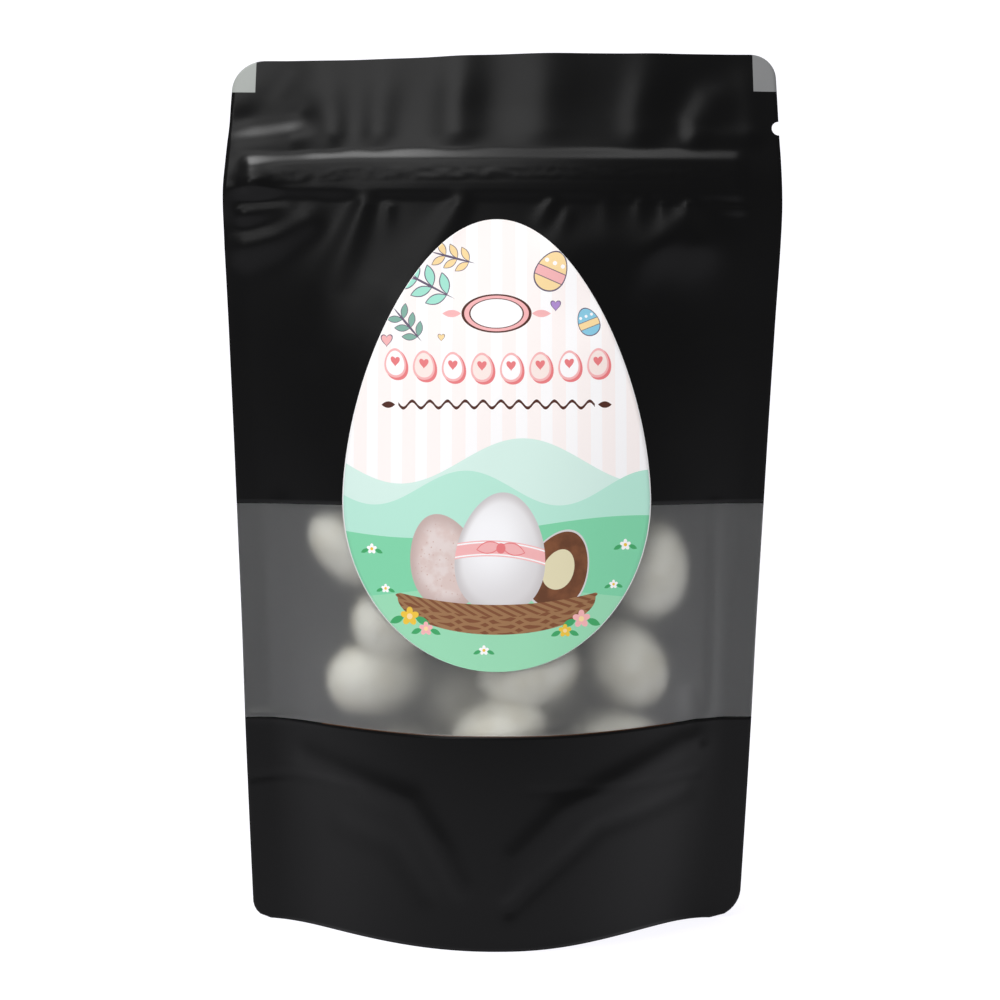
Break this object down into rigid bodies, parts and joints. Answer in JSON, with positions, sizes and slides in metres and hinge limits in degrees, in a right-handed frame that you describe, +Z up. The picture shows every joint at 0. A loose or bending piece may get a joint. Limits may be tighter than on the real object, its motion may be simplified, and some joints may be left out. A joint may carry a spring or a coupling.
{
  "type": "stand-up pouch of chocolate eggs",
  "caption": "Full stand-up pouch of sugar-shelled chocolate eggs with a zip, a bottom gusset, a frosted window band and an egg-shaped label.",
  "frame": {"origin": "middle of the pouch's footprint, on the surface that its bottom rim stands on", "axes": "+Z up to the top seal, +X across the width to the right seen from the front, -Y out of the front panel"},
  "size_m": [0.1402, 0.0574, 0.2204],
  "materials": {
    "black_film": "soft matt black laminated film",
    "frosted_film": "clear film with a frosted matt face, seen over the dark inside",
    "label_paper": "printed matt sticker",
    "sugar_shell": "dull white sugar shell of the eggs behind the window"
  },
  "bodies": {
    "root": {"pouch": "black_film", "window": "frosted_film", "label": "label_paper"}
  },
  "joints": []
}
